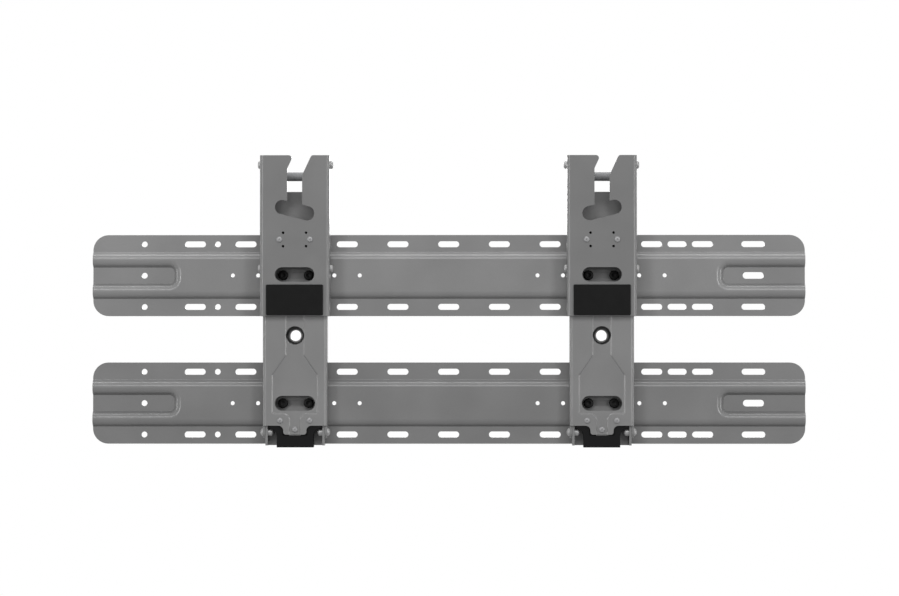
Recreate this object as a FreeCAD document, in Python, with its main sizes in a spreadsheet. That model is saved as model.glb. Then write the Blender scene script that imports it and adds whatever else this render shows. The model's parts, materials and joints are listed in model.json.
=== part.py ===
"""Fixed wall bracket for a large flat screen: two wall rails that carry two upright arms.

Frame: the origin is on the wall plane, midway between the rails and between the arms.
X runs to the right along the rails, Z runs up, and the front of the bracket faces -Y.
"out" is the distance from the wall, so a point at out = 10 has Y = -10.
"""

import FreeCAD, Part
import math
import os
import Sketcher

# Driving dimensions, in millimetres and degrees
SIZES = {
    # Wall rails: a pressed hat section with a drawn pocket at each end
    "rail_length": 712.8,
    "rail_height": 81.3,
    "rail_pitch": 127.74,
    "rail_sheet": 2.3,
    "rail_depth": 8.3,
    "rail_flange_width": 17.3,
    "rail_wall_angle": 60.0,
    "rail_web_round": 6.5,
    "rail_foot_round": 0.6,
    "rail_corner": 15.5,
    "pocket_length": 81.6,
    "pocket_height": 16.2,
    "pocket_corner": 5.0,
    # Wall screw holes in the rails
    "stud_pitch": 50.8,
    "stud_row_margin": 9.25,
    "stud_slot_length": 21.0,
    "stud_slot_height": 6.0,
    "stud_slot_count": 11.0,
    "wide_slot_length": 23.6,
    "short_slot_length": 18.9,
    "short_slot_place": 228.6,
    "end_hole_place": 304.8,
    "end_hole_bore": 5.8,
    "extra_hole_place": 231.3,
    "pocket_slot_height": 6.6,
    # Threaded holes in the rails that the arms are bolted to
    "arm_hole_pitch": 25.4,
    "arm_hole_bore": 4.0,
    "arm_hole_count": 6.0,
    # Arms and the sheet that their three channels are folded from
    "arm_pitch": 304.8,
    "arm_sheet": 2.3,
    "bend_inside": 1.0,
    "fit_gap": 0.1,
    # Ends of the arms, measured from the middles of the upper and the lower rail
    "head_rise": 118.45,
    "foot_drop": 22.2,
    # Back channel, bolted to both rails
    "channel_width": 58.9,
    "channel_web_drop": 35.0,
    "channel_ear_drop": 2.9,
    "channel_foot_drop": 19.65,
    "channel_ear_back": 12.0,
    "channel_edge": 27.5,
    "channel_edge_round": 5.0,
    "adjust_slot_length": 38.0,
    "adjust_slot_height": 6.0,
    "tether_hole_level": 3.6,
    "tether_hole_bore": 10.9,
    "collar_wall": 1.6,
    "collar_rise": 5.2,
    # Lower plate, nested over the back channel
    "lower_nest_gap": 0.25,
    "lower_tip_gap": 1.3,
    "lower_edge": 13.0,
    "lower_top_rise": 16.13,
    "lower_ear_drop": 12.2,
    "lower_ear_round": 5.5,
    "tongue_width": 22.9,
    "tongue_drop": 8.85,
    "tongue_root_round": 5.0,
    "tongue_tip_round": 2.5,
    "window_length": 39.2,
    "window_height": 14.4,
    "access_length": 40.2,
    "access_height": 14.8,
    "eye_bore": 18.2,
    # Sunken relief pressed into the lower plate
    "relief_depth": 1.3,
    "relief_wall_angle": 45.0,
    "relief_neck_width": 19.4,
    "relief_neck_rise": 47.97,
    "relief_neck_top_drop": 23.87,
    "relief_pan_width": 46.4,
    "relief_pan_rise": 28.17,
    "relief_pan_foot": 11.4,
    "relief_pan_round": 2.4,
    "relief_stem_width": 11.8,
    "relief_stem_round": 6.0,
    # Hook plate, nested over the lower plate
    "hook_nest_gap": 0.35,
    "hook_step": 7.2,
    "hook_edge": 11.0,
    "hook_bottom_drop": 41.17,
    "hook_edge_round": 5.0,
    # Notch and slot that a headed stud on the screen drops into
    "throat_width": 14.85,
    "throat_slope": 25.0,
    "throat_left_drop": 13.05,
    "throat_right_drop": 19.76,
    "throat_lip_round": 3.0,
    "key_height": 14.3,
    "key_centres": 25.4,
    "key_tilt": 14.0,
    "key_drop": 54.7,
    # Cross rod between the ears of the back channel
    "rod_bore": 8.9,
    "rod_drop": 20.18,
    "rod_out": 17.0,
    "rod_end": 0.8,
    # Resting pad on the hook plate
    "pad_width": 56.4,
    "pad_height": 30.4,
    "pad_thick": 3.0,
    "pad_drop": 25.17,
    "pad_corner": 0.8,
    # End block between the back channel and the lower plate
    "block_width": 36.3,
    "block_foot_drop": 21.6,
    "block_rise": 9.2,
    "block_shoulder_drop": 2.7,
    "block_arch_round": 8.0,
    "block_gap": 0.3,
    # Spacer block between the back channel and the hook plate
    "spacer_width": 40.0,
    "spacer_height": 30.0,
    "spacer_rise": 34.73,
    "spacer_corner": 3.0,
    "peg_hole_bore": 2.6,
    "peg_hole_width": 22.8,
    "peg_hole_height": 13.3,
    "peg_hole_depth": 5.0,
    # Fasteners
    "edge_round": 0.6,
    "bolt_head_width": 9.8,
    "bolt_head_rise": 5.0,
    "bolt_shank": 5.0,
    "bolt_tip_out": 2.0,
    "bolt_socket": 4.0,
    "bolt_socket_depth": 2.6,
    "rivet_shank": 5.0,
    "rivet_head_width": 8.0,
    "rivet_head_rise": 2.9,
    "rivet_head_round": 2.1,
    "rivet_tail_width": 7.3,
    "rivet_tail_rise": 2.0,
    "long_tail_rise": 5.8,
    "rivet_out": 21.5,
    "top_rivet_drop": 8.73,
    "middle_rivet_rise": 6.33,
    "bottom_rivet_drop": 6.4,
    "screw_shank": 3.0,
    "screw_head_width": 5.8,
    "screw_head_rise": 1.7,
    "screw_head_round": 1.2,
    "screw_length": 10.0,
    "screw_socket": 2.2,
    "screw_socket_depth": 0.9,
    "spacer_screw_spread": 30.4,
    "block_screw_spread": 29.4,
    "block_screw_rise": 5.1,
    "tongue_screw_drop": 3.8,
}

# Extra length that a cutting shape runs past the face that it cuts
RUN_OUT = 1.0

# Two places nearer than this count as one
NEAR = 0.05

doc = FreeCAD.newDocument("TvWallBracket")


class Size:
    """A number together with the sheet formula that gives it."""

    def __init__(self, value, formula):
        self.value = value
        self.formula = formula

    def __add__(self, other):
        other = size(other)
        return Size(self.value + other.value, f"({self.formula} + {other.formula})")

    def __sub__(self, other):
        other = size(other)
        return Size(self.value - other.value, f"({self.formula} - {other.formula})")

    def __mul__(self, other):
        other = size(other)
        return Size(self.value * other.value, f"({self.formula} * {other.formula})")

    def __truediv__(self, other):
        other = size(other)
        return Size(self.value / other.value, f"({self.formula} / {other.formula})")

    def __neg__(self):
        return Size(-self.value, f"(0 - {self.formula})")


def size(item):
    """Take a plain number as a Size."""
    return item if isinstance(item, Size) else Size(float(item), f"{float(item):.6f}")


def smaller(first, second):
    value = min(first.value, second.value)
    return Size(value, f"min({first.formula}; {second.formula})")


def sine(angle):
    return Size(math.sin(math.radians(angle.value)), f"sin({angle.formula})")


def cosine(angle):
    return Size(math.cos(math.radians(angle.value)), f"cos({angle.formula})")


def tangent(angle):
    return Size(math.tan(math.radians(angle.value)), f"tan({angle.formula})")


class Named:
    """Gives each driving dimension as a Size, under its own name."""

    def __getattr__(self, name):
        return Size(SIZES[name], f"Sizes.{name}")


d = Named()

# Levels that several pieces share: the rails' middles and the arms' two ends
UPPER = d.rail_pitch / 2
LOWER = -d.rail_pitch / 2
HEAD = UPPER + d.head_rise
FOOT = LOWER - d.foot_drop
SPACER = UPPER + d.spacer_rise
ROD = HEAD - d.rod_drop
TOP_RIVET = HEAD - d.top_rivet_drop
MIDDLE_RIVET = UPPER + d.middle_rivet_rise
BOTTOM_RIVET = FOOT - d.bottom_rivet_drop
BLOCK_SCREW = FOOT + d.block_screw_rise
TONGUE_SCREW = FOOT - d.tongue_screw_drop

# Distances out from the wall and widths that nest in each other
CHANNEL_FRONT = d.rail_depth + d.arm_sheet
LOWER_FRONT = d.channel_edge + d.lower_tip_gap + d.arm_sheet
HOOK_FRONT = LOWER_FRONT + d.hook_step
LOWER_WIDTH = d.channel_width + (d.lower_nest_gap + d.arm_sheet) * 2
HOOK_WIDTH = LOWER_WIDTH + (d.hook_nest_gap + d.arm_sheet) * 2
CHANNEL_INSIDE = d.channel_width / 2 - d.arm_sheet
SCREW_HOLE = d.screw_shank + d.fit_gap * 2


def write_sheet():
    """Put the driving dimensions in the document's sheet."""
    sheet = doc.addObject("Spreadsheet::Sheet", "Sizes")
    for row, (name, value) in enumerate(SIZES.items(), start=1):
        sheet.set(f"A{row}", name)
        sheet.set(f"B{row}", str(value))
        sheet.setAlias(f"B{row}", name)
    doc.recompute()


def bind(item, path, value):
    """Tie one property of an object to a sheet formula."""
    item.setExpression(path, size(value).formula)


def new_body(name):
    """Start a piece that is built up from features."""
    body = doc.addObject("PartDesign::Body", name)
    body.Label = name
    return body


def place(item, x=0, out=0, z=0, turn=0):
    """Set an object down in the bracket, turned about the vertical by so many degrees."""
    spin = FreeCAD.Rotation(FreeCAD.Vector(0, 0, 1), turn)
    item.Placement = FreeCAD.Placement(FreeCAD.Vector(), spin)
    bind(item, "Placement.Base.x", x)
    bind(item, "Placement.Base.y", -size(out))
    bind(item, "Placement.Base.z", z)


class Drawing:
    """A fully constrained sketch on one of its own body's origin planes.

    On "XZ_Plane" the sketch looks at the front, and its offset is a distance out from
    the wall. On "XY_Plane" it looks down, and on "YZ_Plane" it looks along the rails.
    """

    def __init__(self, body, plane, offset=0):
        role = next(item for item in body.Origin.OriginFeatures if item.Role == plane)
        self.sketch = body.newObject("Sketcher::SketchObject", f"{body.Name}_sketch")
        self.sketch.AttachmentSupport = [(role, "")]
        self.sketch.MapMode = "FlatFace"
        bind(self.sketch, "AttachmentOffset.Base.z", offset)

    def fix(self, kind, *where):
        """Add one dimension, whose last item is the Size that drives it."""
        value = where[-1]
        index = self.sketch.addConstraint(Sketcher.Constraint(kind, *where[:-1], value.value))
        bind(self.sketch, f"Constraints[{index}]", value)

    def pin(self, edge, end, x, y):
        """Fix one end or centre of an edge at x, y."""
        self.fix("DistanceX", -1, 1, edge, end, size(x))
        self.fix("DistanceY", -1, 1, edge, end, size(y))

    def join(self, kind, *where):
        self.sketch.addConstraint(Sketcher.Constraint(kind, *where))

    def circle(self, x, y, bore):
        centre = FreeCAD.Vector(size(x).value, size(y).value, 0)
        ring = Part.Circle(centre, FreeCAD.Vector(0, 0, 1), bore.value / 2)
        edge = self.sketch.addGeometry(ring, False)
        self.fix("Diameter", edge, bore)
        self.pin(edge, 3, x, y)

    def slot(self, x, y, length, height, tilt=None):
        """Draw a round-ended slot, tilted down to the right by an angle."""
        x, y, tilt = size(x), size(y), size(tilt or 0)
        reach_x = (length - height) / 2 * cosine(tilt)
        reach_y = -(length - height) / 2 * sine(tilt)
        ends = [(x + reach_x, y + reach_y), (x - reach_x, y - reach_y)]
        turn = math.radians(-tilt.value)
        radius = height.value / 2
        arcs = []
        for (end_x, end_y), start in zip(ends, (turn - math.pi / 2, turn + math.pi / 2)):
            ring = Part.Circle(
                FreeCAD.Vector(end_x.value, end_y.value, 0), FreeCAD.Vector(0, 0, 1), radius
            )
            arcs.append(self.sketch.addGeometry(Part.ArcOfCircle(ring, start, start + math.pi)))
        across = FreeCAD.Vector(-math.sin(turn), math.cos(turn), 0) * radius
        first, second = (FreeCAD.Vector(a.value, b.value, 0) for a, b in ends)
        top = self.sketch.addGeometry(Part.LineSegment(first + across, second + across))
        low = self.sketch.addGeometry(Part.LineSegment(second - across, first - across))
        self.join("Tangent", arcs[0], 2, top, 1)
        self.join("Tangent", top, 2, arcs[1], 1)
        self.join("Tangent", arcs[1], 2, low, 1)
        self.join("Tangent", low, 2, arcs[0], 1)
        self.join("Equal", arcs[0], arcs[1])
        self.fix("Diameter", arcs[0], height)
        for arc, (end_x, end_y) in zip(arcs, ends):
            self.pin(arc, 3, end_x, end_y)

    def outline(self, *corners):
        """Draw a closed outline through (x, y) corners; (x, y, radius) rounds a corner."""
        points = [FreeCAD.Vector(size(c[0]).value, size(c[1]).value, 0) for c in corners]
        count = len(corners)
        starts, stops, centres = [], [], []
        for index, corner in enumerate(corners):
            here = points[index]
            back = (points[index - 1] - here).normalize()
            ahead = (points[(index + 1) % count] - here).normalize()
            if len(corner) == 2:
                starts.append(here)
                stops.append(here)
                centres.append(None)
                continue
            half = back.getAngle(ahead) / 2
            radius = size(corner[2]).value
            stops.append(here + back * (radius / math.tan(half)))
            starts.append(here + ahead * (radius / math.tan(half)))
            centres.append(here + (back + ahead).normalize() * (radius / math.sin(half)))
        sides = []
        for index in range(count):
            side = Part.LineSegment(starts[index], stops[(index + 1) % count])
            sides.append(self.sketch.addGeometry(side, False))
        for index, corner in enumerate(corners):
            before, after = sides[index - 1], sides[index]
            if len(corner) == 2:
                self.join("Coincident", before, 2, after, 1)
                self.pin(after, 1, corner[0], corner[1])
                continue
            self.round_corner(corner, points[index], stops[index], starts[index], centres[index],
                              before, after)

    def round_corner(self, corner, point, stop, start, centre, before, after):
        """Join two sides by an arc, and hold the corner where they would meet."""
        mark = self.sketch.addGeometry(Part.Point(point), True)
        leftward = (stop - centre).cross(start - centre).z > 0
        first, last = (stop, start) if leftward else (start, stop)
        angles = [math.atan2((p - centre).y, (p - centre).x) for p in (first, last)]
        if angles[1] < angles[0]:
            angles[1] += 2 * math.pi
        ring = Part.Circle(centre, FreeCAD.Vector(0, 0, 1), size(corner[2]).value)
        arc = self.sketch.addGeometry(Part.ArcOfCircle(ring, *angles), False)
        self.join("Tangent", before, 2, arc, 1 if leftward else 2)
        self.join("Tangent", arc, 2 if leftward else 1, after, 1)
        self.fix("Radius", arc, size(corner[2]))
        self.join("PointOnObject", mark, 1, before)
        self.join("PointOnObject", mark, 1, after)
        self.pin(mark, 1, corner[0], corner[1])

    def box(self, left, right, low, high, *rounding):
        """Draw a rectangle, with its corners rounded if a radius follows."""
        self.outline((left, low, *rounding), (right, low, *rounding),
                     (right, high, *rounding), (left, high, *rounding))


def feature(body, kind, drawing):
    item = body.newObject(f"PartDesign::{kind}", f"{body.Name}_{kind.lower()}")
    item.Profile = drawing.sketch
    return item


def pad(body, drawing, length):
    """Raise a drawing along its plane's normal."""
    item = feature(body, "Pad", drawing)
    bind(item, "Length", length)
    return item


def pad_both_ways(body, drawing, length):
    item = pad(body, drawing, length)
    item.SideType = "Symmetric"
    return item


def cut(body, drawing, depth):
    """Cut a drawing back from its plane, against the normal."""
    item = feature(body, "Pocket", drawing)
    bind(item, "Length", depth)
    return item


def cut_through(body, drawing):
    """Cut a drawing through the whole piece, on both sides of its plane."""
    item = feature(body, "Pocket", drawing)
    item.Type = "ThroughAll"
    item.SideType = "Symmetric"
    return item


def loft(body, kind, first, second):
    item = feature(body, kind, first)
    item.Sections = [second.sketch]
    item.Ruled = True
    return item


def repeat(body, items, pitch, count):
    """Repeat cuts along X at a pitch."""
    item = body.newObject("PartDesign::LinearPattern", f"{body.Name}_pattern")
    item.Originals = items
    axis = next(entry for entry in body.Origin.OriginFeatures if entry.Role == "X_Axis")
    item.Direction = (axis, [""])
    item.Mode = "Spacing"
    bind(item, "Offset", pitch)
    bind(item, "Occurrences", count)
    body.Tip = item
    return item


def fillet(body, radius, wanted):
    """Round each edge of the body so far that the test picks."""
    doc.recompute()
    base = body.Tip
    names = [f"Edge{n}" for n, edge in enumerate(base.Shape.Edges, start=1) if wanted(edge)]
    item = body.newObject("PartDesign::Fillet", f"{body.Name}_fillet")
    item.Base = (base, names)
    bind(item, "Radius", radius)
    return item


def lies_at(edge, axis, place_on_axis):
    """Say whether a whole edge lies in one plane across an axis."""
    box = edge.BoundBox
    low, high = getattr(box, f"{axis}Min"), getattr(box, f"{axis}Max")
    return abs(low - place_on_axis) < NEAR and abs(high - place_on_axis) < NEAR


# Wall rails


def rail_form():
    """Give the levels of a rail's bends from its middle, and the web bends' radius.

    The radius is limited by the flat web left between the shoulder and a pocket's brim.
    """
    wall_run = (d.rail_depth - d.rail_sheet) / tangent(d.rail_wall_angle)
    foot = d.rail_height / 2 - d.rail_flange_width
    shoulder = foot - wall_run
    brim = d.pocket_height / 2 + wall_run
    widest = (shoulder - brim - NEAR) / 2 / tangent(d.rail_wall_angle / 2)
    return foot, shoulder, brim, smaller(d.rail_web_round, widest)


def hat_section(drawing):
    """Draw the rail's section: two wall flanges, sloping walls and a raised web."""
    foot, shoulder, _, web_round = rail_form()
    shift = d.rail_sheet * tangent(d.rail_wall_angle / 2)
    half = d.rail_height / 2
    inner_round = web_round - d.rail_sheet
    outer_foot = d.rail_foot_round + d.rail_sheet
    front = [
        (-d.rail_sheet, half),
        (-d.rail_sheet, foot, d.rail_foot_round),
        (-d.rail_depth, shoulder, web_round),
        (-d.rail_depth, -shoulder, web_round),
        (-d.rail_sheet, -foot, d.rail_foot_round),
        (-d.rail_sheet, -half),
    ]
    web_back = d.rail_sheet - d.rail_depth
    back = [
        (0, -half),
        (0, shift - foot, outer_foot),
        (web_back, shift - shoulder, inner_round),
        (web_back, shoulder - shift, inner_round),
        (0, foot - shift, outer_foot),
        (0, half),
    ]
    drawing.outline(*front, *back)


def pocket_outline(body, side, out, grow):
    """Draw an end pocket's outline, grown all round, at one distance from the wall."""
    drawing = Drawing(body, "XZ_Plane", out)
    end = (d.rail_length / 2 + RUN_OUT) * side
    inner = (d.rail_length / 2 - d.pocket_length - grow) * side
    half = d.pocket_height / 2 + grow
    corner = d.pocket_corner + grow
    drawing.outline((end, -half), (end, half), (inner, half, corner), (inner, -half, corner))
    return drawing


def draw_end_pocket(body, side):
    """Press the web back to the wall flanges' level, with sloping walls, at one end."""
    slope = tangent(d.rail_wall_angle)
    shift = d.rail_sheet * tangent(d.rail_wall_angle / 2)
    mid_web = d.rail_depth - d.rail_sheet / 2
    back = pocket_outline(body, side, 0, shift)
    under = pocket_outline(body, side, mid_web, shift + mid_web / slope)
    loft(body, "AdditiveLoft", back, under)
    floor = pocket_outline(body, side, d.rail_sheet, size(0))
    above = d.rail_depth + RUN_OUT
    mouth = pocket_outline(body, side, above, (above - d.rail_sheet) / slope)
    loft(body, "SubtractiveLoft", floor, mouth)


def round_pocket_brims(body):
    """Round the brims where the end pockets' walls meet the web, in front and behind."""
    shift = d.rail_sheet * tangent(d.rail_wall_angle / 2)
    _, _, brim, web_round = rail_form()
    for face, half, radius in (
        (d.rail_depth, brim, web_round),
        (d.rail_depth - d.rail_sheet, brim + shift, web_round - d.rail_sheet),
    ):
        def on_brim(edge, face=face, half=half):
            box = edge.BoundBox
            inside = max(-box.ZMin, box.ZMax) < half.value + NEAR
            return inside and lies_at(edge, "Y", -face.value)

        fillet(body, radius, on_brim)


def trim_rail(body):
    """Cut the blank to length and round its four corners."""
    drawing = Drawing(body, "XZ_Plane")
    half_length = d.rail_length / 2
    half_height = d.rail_height / 2
    margin = RUN_OUT * 2
    drawing.box(-half_length - margin, half_length + margin,
                -half_height - margin, half_height + margin)
    drawing.box(-half_length, half_length, -half_height, half_height, d.rail_corner)
    cut_through(body, drawing)


def pierce_rail(body):
    """Punch the wall screw holes and the threaded holes for the arms."""
    row = d.rail_height / 2 - d.stud_row_margin
    run = d.stud_pitch * (d.stud_slot_count - 1)
    slots = Drawing(body, "XZ_Plane")
    for level in (-row, row):
        slots.slot(-run / 2, level, d.stud_slot_length, d.stud_slot_height)
    repeat(body, [cut_through(body, slots)], d.stud_pitch, d.stud_slot_count)

    ends = Drawing(body, "XZ_Plane")
    for level in (-row, row):
        ends.circle(-d.end_hole_place, level, d.end_hole_bore)
        ends.circle(-d.extra_hole_place, level, d.end_hole_bore)
        ends.slot(d.short_slot_place, level, d.short_slot_length, d.stud_slot_height)
        ends.slot(d.end_hole_place, level, d.wide_slot_length, d.stud_slot_height)
    ends.circle(-d.end_hole_place, 0, d.end_hole_bore)
    ends.slot(d.end_hole_place, 0, d.stud_slot_length, d.pocket_slot_height)
    cut_through(body, ends)

    group = d.arm_hole_pitch * (d.arm_hole_count - 1)
    threads = Drawing(body, "XZ_Plane")
    for middle in (-d.arm_pitch / 2, d.arm_pitch / 2):
        threads.circle(middle - group / 2, 0, d.arm_hole_bore)
    repeat(body, [cut_through(body, threads)], d.arm_hole_pitch, d.arm_hole_count)


def wall_rail(name, level):
    body = new_body(name)
    section = Drawing(body, "YZ_Plane")
    hat_section(section)
    pad_both_ways(body, section, d.rail_length + RUN_OUT)
    for side in (-1, 1):
        draw_end_pocket(body, side)
    round_pocket_brims(body)
    trim_rail(body)
    pierce_rail(body)
    place(body, z=level)
    return body


# Folded channels of the arms


def fold_channel(body, width, web, edge, bottom, top):
    """Fold a channel: its web's outer face and its flanges' edges are distances out."""
    drawing = Drawing(body, "XY_Plane", bottom)
    half = width / 2
    inward = 1 if edge.value > web.value else -1
    inner = web + d.arm_sheet * inward
    inner_half = half - d.arm_sheet
    outside = d.bend_inside + d.arm_sheet
    drawing.outline(
        (-half, -edge),
        (-half, -web, outside),
        (half, -web, outside),
        (half, -edge),
        (inner_half, -edge),
        (inner_half, -inner, d.bend_inside),
        (-inner_half, -inner, d.bend_inside),
        (-inner_half, -edge),
    )
    pad(body, drawing, top - bottom)


def round_flange_tips(body, radius, levels, outs):
    """Round the flanges' corners at the given heights and distances from the wall."""

    def on_tip(edge):
        at_level = any(lies_at(edge, "Z", level.value) for level in levels)
        at_out = any(lies_at(edge, "Y", -out.value) for out in outs)
        return at_level and at_out

    fillet(body, radius, on_tip)


def pierce_flanges(body, *rivet_levels):
    """Drill both flanges for the rivets at the given heights."""
    drawing = Drawing(body, "YZ_Plane")
    for level in rivet_levels:
        drawing.circle(-d.rivet_out, level, d.rivet_shank + d.fit_gap * 2)
    cut_through(body, drawing)


def back_channel(name):
    """Fold the channel that is bolted to the rails, with ears above its web."""
    body = new_body(name)
    ear_top = HEAD - d.channel_ear_drop
    fold_channel(body, d.channel_width, d.rail_depth, d.channel_edge,
                 FOOT - d.channel_foot_drop, ear_top)

    ears = Drawing(body, "YZ_Plane")
    ears.box(-d.channel_ear_back, -d.rail_depth + RUN_OUT,
             HEAD - d.channel_web_drop, ear_top + RUN_OUT)
    cut_through(body, ears)
    round_flange_tips(body, d.channel_edge_round, [ear_top],
                      [d.channel_ear_back, d.channel_edge])

    collar = Drawing(body, "XZ_Plane", CHANNEL_FRONT)
    collar.circle(0, d.tether_hole_level, d.tether_hole_bore + d.collar_wall * 2)
    pad(body, collar, d.collar_rise)

    holes = Drawing(body, "XZ_Plane", CHANNEL_FRONT + d.collar_rise + RUN_OUT)
    for level in (LOWER, UPPER):
        holes.slot(0, level, d.adjust_slot_length, d.adjust_slot_height)
    holes.circle(0, d.tether_hole_level, d.tether_hole_bore)
    cut_through(body, holes)

    pierce_flanges(body, BOTTOM_RIVET, MIDDLE_RIVET, TOP_RIVET)
    rod = Drawing(body, "YZ_Plane")
    rod.circle(-d.rod_out, ROD, d.rod_bore + d.fit_gap * 2)
    cut_through(body, rod)
    return body


def relief_outline(body, out, grow):
    """Draw the lower plate's sunken relief: a neck, a pan and a stem down the tongue."""
    drawing = Drawing(body, "XZ_Plane", out)
    neck = d.relief_neck_width / 2 + grow
    pan = d.relief_pan_width / 2 + grow
    stem = d.relief_stem_width / 2 + grow
    run = pan - neck
    rise = d.relief_neck_rise - d.relief_pan_rise
    slant = Size(math.hypot(run.value, rise.value), f"hypot({run.formula}; {rise.formula})")
    lift = grow * (slant - rise) / run
    low = FOOT + d.relief_pan_foot - grow
    half = [
        (stem, FOOT - d.tongue_drop - RUN_OUT),
        (stem, low, d.relief_stem_round - grow),
        (pan, low, d.relief_pan_round + grow),
        (pan, LOWER + d.relief_pan_rise + lift),
        (neck, LOWER + d.relief_neck_rise + lift),
        (neck, UPPER - d.relief_neck_top_drop + grow),
    ]
    mirrored = [(-x, *rest) for x, *rest in reversed(half)]
    drawing.outline(*half, *mirrored)
    return drawing


def press_relief(body):
    """Sink the relief into the lower plate, keeping the sheet's thickness behind it."""
    slope = tangent(d.relief_wall_angle)
    back = LOWER_FRONT - d.arm_sheet
    shift = d.arm_sheet * tangent(d.relief_wall_angle / 2)
    half_sheet = d.arm_sheet / 2
    mouth = relief_outline(body, back + half_sheet, shift + half_sheet / slope)
    floor = relief_outline(body, back - d.relief_depth, shift - d.relief_depth / slope)
    loft(body, "AdditiveLoft", mouth, floor)
    above = size(RUN_OUT / 2)
    mouth = relief_outline(body, LOWER_FRONT + above, above / slope)
    floor = relief_outline(body, LOWER_FRONT - d.relief_depth, -d.relief_depth / slope)
    loft(body, "SubtractiveLoft", mouth, floor)


def lower_plate(name):
    """Fold the plate over the channel's lower end, with a tongue and two rivet ears."""
    body = new_body(name)
    ear_bottom = FOOT - d.lower_ear_drop
    fold_channel(body, LOWER_WIDTH, LOWER_FRONT, d.lower_edge,
                 ear_bottom, UPPER + d.lower_top_rise)
    press_relief(body)

    bend = d.arm_sheet + d.bend_inside
    below = Drawing(body, "XZ_Plane", LOWER_FRONT)
    side = LOWER_WIDTH / 2 + RUN_OUT
    tongue = d.tongue_width / 2
    tip = FOOT - d.tongue_drop
    low = ear_bottom - RUN_OUT
    below.outline(
        (-side, low),
        (side, low),
        (side, FOOT),
        (tongue, FOOT, d.tongue_root_round),
        (tongue, tip, d.tongue_tip_round),
        (-tongue, tip, d.tongue_tip_round),
        (-tongue, FOOT, d.tongue_root_round),
        (-side, FOOT),
    )
    cut(body, below, bend)
    round_flange_tips(body, d.lower_ear_round, [ear_bottom],
                      [d.lower_edge, LOWER_FRONT - bend])

    holes = Drawing(body, "XZ_Plane", LOWER_FRONT)
    for level in (LOWER, UPPER):
        holes.slot(0, level, d.access_length, d.access_height)
    holes.circle(0, d.tether_hole_level, d.eye_bore)
    holes.circle(0, TONGUE_SCREW, SCREW_HOLE)
    for side in (-1, 1):
        holes.circle(d.block_screw_spread / 2 * side, BLOCK_SCREW, SCREW_HOLE)
    cut_through(body, holes)
    pierce_flanges(body, BOTTOM_RIVET, MIDDLE_RIVET)
    return body


def notch_outline(drawing):
    """Draw the slanted mouth and the straight throat that a stud's shank slides down."""
    half = d.throat_width / 2
    above = HEAD + RUN_OUT
    slope = tangent(d.throat_slope)
    left_top = d.throat_left_drop * slope - half
    right_top = d.throat_right_drop * slope + half
    drawing.outline(
        (-half, HEAD - d.key_drop),
        (half, HEAD - d.key_drop),
        (half, HEAD - d.throat_right_drop),
        (right_top, HEAD),
        (right_top, above),
        (left_top, above),
        (left_top, HEAD),
        (-half, HEAD - d.throat_left_drop),
    )


def peg_holes(drawing):
    """Draw the four small holes that go through the hook plate into the spacer block."""
    for side in (-1, 1):
        for step in (-1, 1):
            drawing.circle(d.peg_hole_width / 2 * side, SPACER + d.peg_hole_height / 2 * step,
                           d.peg_hole_bore)


def hook_plate(name, mirror):
    """Fold the front plate that the screen hangs on; mirror flips its slot's tilt."""
    body = new_body(name)
    bottom = UPPER - d.hook_bottom_drop
    fold_channel(body, HOOK_WIDTH, HOOK_FRONT, d.hook_edge, bottom, HEAD)
    round_flange_tips(body, d.hook_edge_round, [bottom, HEAD], [d.hook_edge])

    notch = Drawing(body, "XZ_Plane", HOOK_FRONT)
    notch_outline(notch)
    cut_through(body, notch)
    flat_half = HOOK_WIDTH / 2 - d.arm_sheet - d.bend_inside

    def on_lip(edge):
        box = edge.BoundBox
        across = abs(box.YLength - d.arm_sheet.value) < NEAR and box.XLength < NEAR
        beside = max(-box.XMin, box.XMax) < flat_half.value
        return across and beside and lies_at(edge, "Z", HEAD.value)

    fillet(body, d.throat_lip_round, on_lip)

    holes = Drawing(body, "XZ_Plane", HOOK_FRONT)
    holes.slot(0, HEAD - d.key_drop, d.key_centres + d.key_height, d.key_height,
               d.key_tilt * mirror)
    cut_through(body, holes)

    holes = Drawing(body, "XZ_Plane", HOOK_FRONT)
    holes.slot(0, UPPER, d.window_length, d.window_height)
    for side in (-1, 1):
        holes.circle(d.spacer_screw_spread / 2 * side, SPACER, SCREW_HOLE)
    peg_holes(holes)
    cut_through(body, holes)
    pierce_flanges(body, MIDDLE_RIVET, TOP_RIVET)
    return body


# Blocks and the pad


def front_pad(name):
    """A flat resting pad that is stuck to the hook plate."""
    body = new_body(name)
    drawing = Drawing(body, "XZ_Plane", HOOK_FRONT)
    half_width = d.pad_width / 2
    half_height = d.pad_height / 2
    level = UPPER - d.pad_drop
    drawing.box(-half_width, half_width, level - half_height, level + half_height,
                d.pad_corner)
    pad(body, drawing, d.pad_thick)
    return body


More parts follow.
